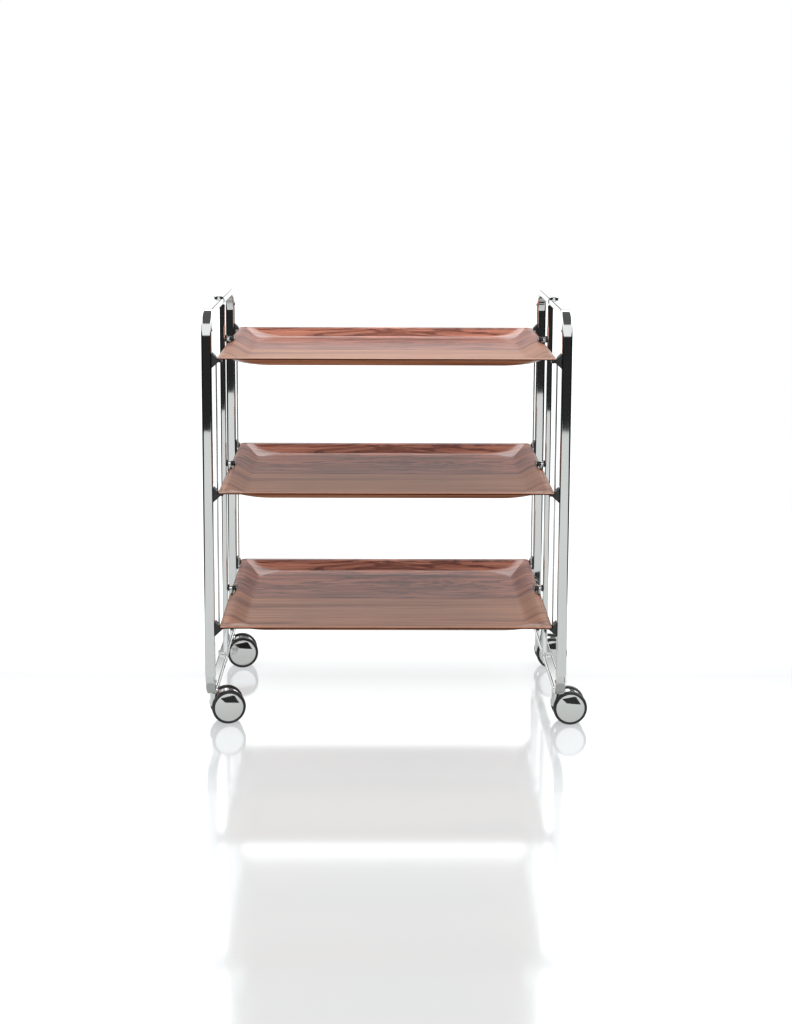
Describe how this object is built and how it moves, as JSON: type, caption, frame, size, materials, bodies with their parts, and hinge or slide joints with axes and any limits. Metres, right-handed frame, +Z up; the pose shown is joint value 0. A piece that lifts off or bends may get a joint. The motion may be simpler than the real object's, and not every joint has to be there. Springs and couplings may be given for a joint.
{
  "type": "folding bar cart",
  "caption": "Folding serving cart with split dished wood-laminate trays between chrome flat-tube end frames, on twin-wheel casters with chrome discs.",
  "frame": {"origin": "on the floor, under the middle of the cart's overall box; the frames' own middle plane is 23.6 mm towards -X, because the casters trail towards +X", "axes": "+Z up, +X along the trays to the right, -Y is the front"},
  "size_m": [0.702, 0.5, 0.7785],
  "materials": {
    "chrome": "polished chrome plate",
    "steel": "bright steel",
    "laminate": "satin rosewood laminate, grain along X",
    "black_plastic": "moulded black plastic",
    "tyre": "black wheel with a smooth tread"
  },
  "bodies": {
    "end_frames": {"frame_front_left": "chrome", "frame_front_right": "chrome", "frame_rear_left": "chrome", "frame_rear_right": "chrome", "upright_left": "chrome", "upright_right": "chrome", "knuckles_front": "chrome", "knuckles_rear": "chrome", "pin_caps": "chrome", "acorn_nuts": "chrome", "frame_rivets": "steel", "cross_rods": "steel", "stub_axles": "chrome", "axle_bosses": "black_plastic", "corner_rests_front_left": "black_plastic", "corner_rests_front_right": "black_plastic", "corner_rests_rear_left": "black_plastic", "corner_rests_rear_right": "black_plastic", "caster_sockets": "steel"},
    "top_front_half": {"tray_top_front": "laminate", "fittings_top_front": "black_plastic"},
    "middle_front_half": {"tray_middle_front": "laminate", "fittings_middle_front": "black_plastic"},
    "bottom_front_half": {"tray_bottom_front": "laminate", "fittings_bottom_front": "black_plastic"},
    "front_tie_rods": {"tie_rods_front": "chrome"},
    "top_rear_half": {"tray_top_rear": "laminate", "fittings_top_rear": "black_plastic"},
    "middle_rear_half": {"tray_middle_rear": "laminate", "fittings_middle_rear": "black_plastic"},
    "bottom_rear_half": {"tray_bottom_rear": "laminate", "fittings_bottom_rear": "black_plastic"},
    "rear_tie_rods": {"tie_rods_rear": "chrome"},
    "caster_front_left": {"caster_hood_front_left": "chrome", "caster_axle_front_left": "steel"},
    "wheel_front_left_near": {"wheel_front_left_near": "tyre", "wheel_disc_front_left_near": "chrome"},
    "wheel_front_left_far": {"wheel_front_left_far": "tyre", "wheel_disc_front_left_far": "chrome"},
    "caster_front_right": {"caster_hood_front_right": "chrome", "caster_axle_front_right": "steel"},
    "wheel_front_right_near": {"wheel_front_right_near": "tyre", "wheel_disc_front_right_near": "chrome"},
    "wheel_front_right_far": {"wheel_front_right_far": "tyre", "wheel_disc_front_right_far": "chrome"},
    "caster_rear_left": {"caster_hood_rear_left": "chrome", "caster_axle_rear_left": "steel"},
    "wheel_rear_left_near": {"wheel_rear_left_near": "tyre", "wheel_disc_rear_left_near": "chrome"},
    "wheel_rear_left_far": {"wheel_rear_left_far": "tyre", "wheel_disc_rear_left_far": "chrome"},
    "caster_rear_right": {"caster_hood_rear_right": "chrome", "caster_axle_rear_right": "steel"},
    "wheel_rear_right_near": {"wheel_rear_right_near": "tyre", "wheel_disc_rear_right_near": "chrome"},
    "wheel_rear_right_far": {"wheel_rear_right_far": "tyre", "wheel_disc_rear_right_far": "chrome"}
  },
  "joints": [
    {"name": "top_front_fold", "type": "hinge", "parent": "end_frames", "child": "top_front_half", "pos_m": [-0.0236, 0, 0.697], "axis": [-1, 0, 0], "range_deg": [0, 84]},
    {"name": "middle_front_fold", "type": "hinge", "parent": "end_frames", "child": "middle_front_half", "pos_m": [-0.0236, 0, 0.456], "axis": [-1, 0, 0], "range_deg": [0, 84]},
    {"name": "bottom_front_fold", "type": "hinge", "parent": "end_frames", "child": "bottom_front_half", "pos_m": [-0.0236, 0, 0.21], "axis": [-1, 0, 0], "range_deg": [0, 84]},
    {"name": "front_tie_rod_pivot", "type": "hinge", "parent": "top_front_half", "child": "front_tie_rods", "pos_m": [-0.0236, -0.215, 0.685], "axis": [-1, 0, 0], "range_deg": [-84, 0]},
    {"name": "top_rear_fold", "type": "hinge", "parent": "end_frames", "child": "top_rear_half", "pos_m": [-0.0236, 0, 0.697], "axis": [1, 0, 0], "range_deg": [0, 84]},
    {"name": "middle_rear_fold", "type": "hinge", "parent": "end_frames", "child": "middle_rear_half", "pos_m": [-0.0236, 0, 0.456], "axis": [1, 0, 0], "range_deg": [0, 84]},
    {"name": "bottom_rear_fold", "type": "hinge", "parent": "end_frames", "child": "bottom_rear_half", "pos_m": [-0.0236, 0, 0.21], "axis": [1, 0, 0], "range_deg": [0, 84]},
    {"name": "rear_tie_rod_pivot", "type": "hinge", "parent": "top_rear_half", "child": "rear_tie_rods", "pos_m": [-0.0236, 0.215, 0.685], "axis": [1, 0, 0], "range_deg": [-84, 0]},
    {"name": "caster_front_left_swivel", "type": "hinge", "parent": "end_frames", "child": "caster_front_left", "pos_m": [-0.3406, -0.166, 0.066], "axis": [0, 0, 1], "continuous": true},
    {"name": "wheel_front_left_near_spin", "type": "hinge", "parent": "caster_front_left", "child": "wheel_front_left_near", "pos_m": [-0.31722, -0.1606, 0.0314], "axis": [-0.225, 0.9744, 0], "continuous": true},
    {"name": "wheel_front_left_far_spin", "type": "hinge", "parent": "caster_front_left", "child": "wheel_front_left_far", "pos_m": [-0.31722, -0.1606, 0.0314], "axis": [-0.225, 0.9744, 0], "continuous": true},
    {"name": "caster_front_right_swivel", "type": "hinge", "parent": "end_frames", "child": "caster_front_right", "pos_m": [0.2934, -0.166, 0.066], "axis": [0, 0, 1], "continuous": true},
    {"name": "wheel_front_right_near_spin", "type": "hinge", "parent": "caster_front_right", "child": "wheel_front_right_near", "pos_m": [0.31737, -0.16474, 0.0314], "axis": [-0.0523, 0.9986, 0], "continuous": true},
    {"name": "wheel_front_right_far_spin", "type": "hinge", "parent": "caster_front_right", "child": "wheel_front_right_far", "pos_m": [0.31737, -0.16474, 0.0314], "axis": [-0.0523, 0.9986, 0], "continuous": true},
    {"name": "caster_rear_left_swivel", "type": "hinge", "parent": "end_frames", "child": "caster_rear_left", "pos_m": [-0.3406, 0.166, 0.066], "axis": [0, 0, 1], "continuous": true},
    {"name": "wheel_rear_left_near_spin", "type": "hinge", "parent": "caster_rear_left", "child": "wheel_rear_left_near", "pos_m": [-0.31683, 0.16934, 0.0314], "axis": [-0.1392, 0.9903, 0], "continuous": true},
    {"name": "wheel_rear_left_far_spin", "type": "hinge", "parent": "caster_rear_left", "child": "wheel_rear_left_far", "pos_m": [-0.31683, 0.16934, 0.0314], "axis": [-0.1392, 0.9903, 0], "continuous": true},
    {"name": "caster_rear_right_swivel", "type": "hinge", "parent": "end_frames", "child": "caster_rear_right", "pos_m": [0.2934, 0.166, 0.066], "axis": [0, 0, 1], "continuous": true},
    {"name": "wheel_rear_right_near_spin", "type": "hinge", "parent": "caster_rear_right", "child": "wheel_rear_right_near", "pos_m": [0.31737, 0.16726, 0.0314], "axis": [-0.0523, 0.9986, 0], "continuous": true},
    {"name": "wheel_rear_right_far_spin", "type": "hinge", "parent": "caster_rear_right", "child": "wheel_rear_right_far", "pos_m": [0.31737, 0.16726, 0.0314], "axis": [-0.0523, 0.9986, 0], "continuous": true}
  ],
  "couplings": [
    {"joint": "middle_front_fold", "follows": "top_front_fold", "ratio": 1},
    {"joint": "bottom_front_fold", "follows": "top_front_fold", "ratio": 1},
    {"joint": "front_tie_rod_pivot", "follows": "top_front_fold", "ratio": -1},
    {"joint": "middle_rear_fold", "follows": "top_rear_fold", "ratio": 1},
    {"joint": "bottom_rear_fold", "follows": "top_rear_fold", "ratio": 1},
    {"joint": "rear_tie_rod_pivot", "follows": "top_rear_fold", "ratio": -1}
  ]
}
